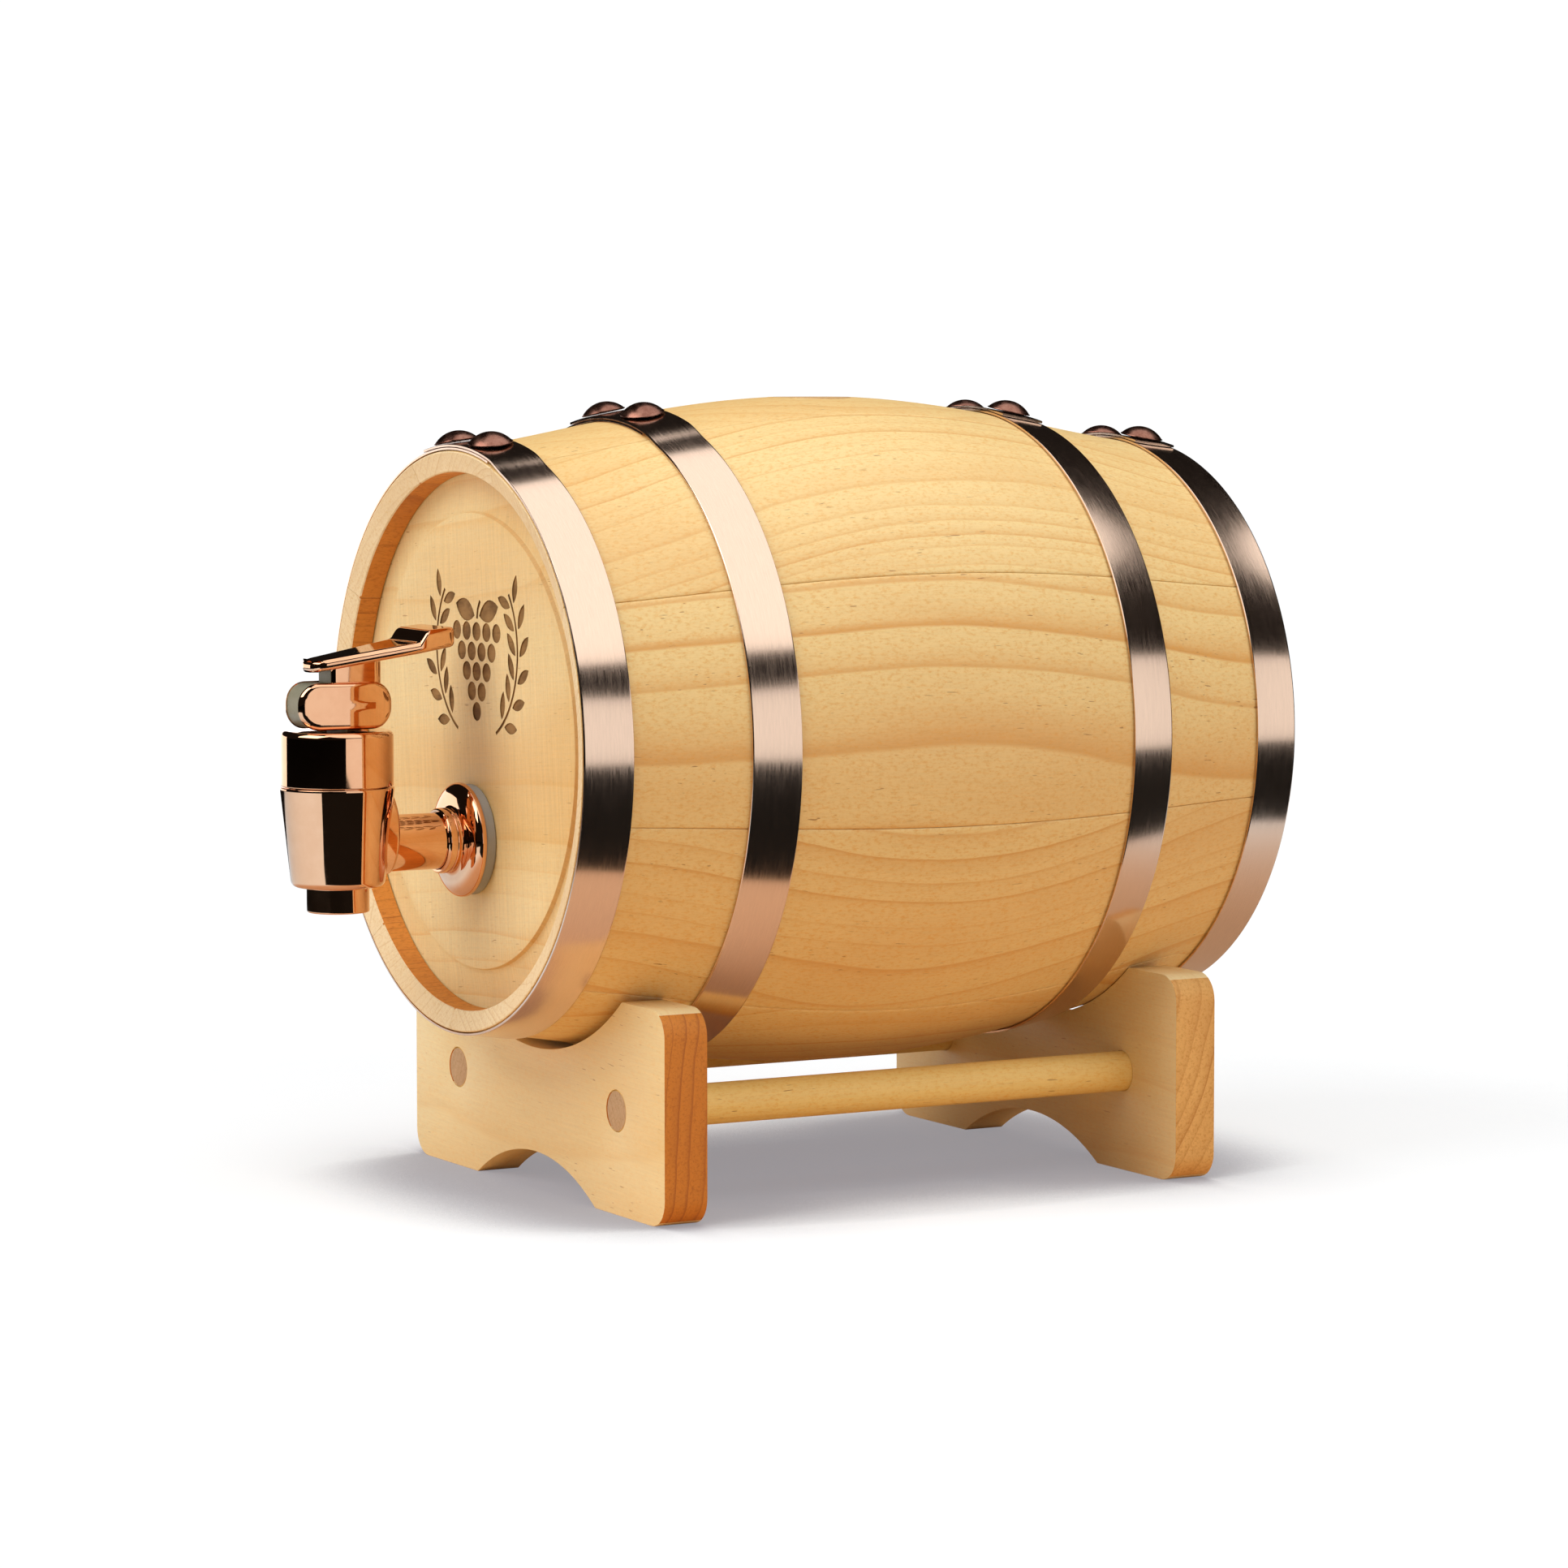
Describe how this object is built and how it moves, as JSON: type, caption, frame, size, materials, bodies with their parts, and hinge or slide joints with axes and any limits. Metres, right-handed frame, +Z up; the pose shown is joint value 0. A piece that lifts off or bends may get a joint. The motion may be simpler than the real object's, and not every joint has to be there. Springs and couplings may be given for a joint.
{
  "type": "oak wine barrel",
  "caption": "Small wooden drinks barrel on a cradle stand, with riveted metal hoops, a flush bung and a lever tap in its front head.",
  "frame": {"origin": "on the floor under the centre of the whole object's bounding box", "axes": "+Z up; the barrel's axis runs along Y; the front head and the tap face -Y; +X is to the right of someone who stands in front of the tap and looks at it"},
  "size_m": [0.1994, 0.2898, 0.2322],
  "materials": {
    "stave_wood": "clear satin over pale pine-like wood",
    "head_wood": "clear satin over pale wood",
    "stand_wood": "clear satin over pale pine-like wood",
    "bung_wood": "bare turned hardwood",
    "hoop_copper": "cross-brushed copper plating on a steel strap",
    "rivet_copper": "antique copper plating",
    "tap_plating": "mirror rose-gold plating",
    "valve_plastic": "plain moulded",
    "spring_steel": "drawn stainless wire",
    "washer_rubber": "matt grey",
    "silicone": "translucent white silicone"
  },
  "bodies": {
    "stand": {"front_cradle": "stand_wood", "rear_cradle": "stand_wood", "left_dowel": "stand_wood", "right_dowel": "stand_wood"},
    "barrel": {"stave_1": "stave_wood", "stave_2": "stave_wood", "stave_3": "stave_wood", "bung_stave": "stave_wood", "stave_4": "stave_wood", "stave_5": "stave_wood", "stave_6": "stave_wood", "stave_7": "stave_wood", "stave_8": "stave_wood", "front_head": "head_wood", "rear_head": "head_wood", "hoop_1": "hoop_copper", "hoop_2": "hoop_copper", "hoop_3": "hoop_copper", "hoop_4": "hoop_copper", "rivet_1_right": "rivet_copper", "rivet_1_left": "rivet_copper", "rivet_2_right": "rivet_copper", "rivet_2_left": "rivet_copper", "rivet_3_right": "rivet_copper", "rivet_3_left": "rivet_copper", "rivet_4_right": "rivet_copper", "rivet_4_left": "rivet_copper", "tap_body": "tap_plating", "tap_bonnet": "tap_plating", "tap_flange": "tap_plating", "outer_washer": "washer_rubber", "inner_washer": "washer_rubber", "lock_nut": "valve_plastic", "return_spring": "spring_steel"},
    "bung": {"bung": "bung_wood"},
    "valve": {"valve_stem": "valve_plastic", "seat_plug": "silicone", "lever_pin": "spring_steel"},
    "lever": {"lever": "tap_plating"}
  },
  "joints": [
    {"name": "barrel_lift", "type": "slide", "parent": "stand", "child": "barrel", "axis": [0, 0, 1], "range_m": [0, 0.12]},
    {"name": "bung_lift", "type": "slide", "parent": "barrel", "child": "bung", "axis": [0, 0, 1], "range_m": [0, 0.04]},
    {"name": "valve_lift", "type": "slide", "parent": "barrel", "child": "valve", "axis": [0, 0, 1], "range_m": [0, 0.0035], "deforming": ["return_spring"]},
    {"name": "lever_tilt", "type": "hinge", "parent": "valve", "child": "lever", "pos_m": [0, -0.1285, 0.1449], "axis": [-1, 0, 0], "range_deg": [0, 25], "stiffness_Nm_per_rad": 0.12, "springref_deg": -22.92}
  ],
  "couplings": [
    {"joint": "valve_lift", "follows": "lever_tilt", "m_per_rad": 0.008}
  ]
}
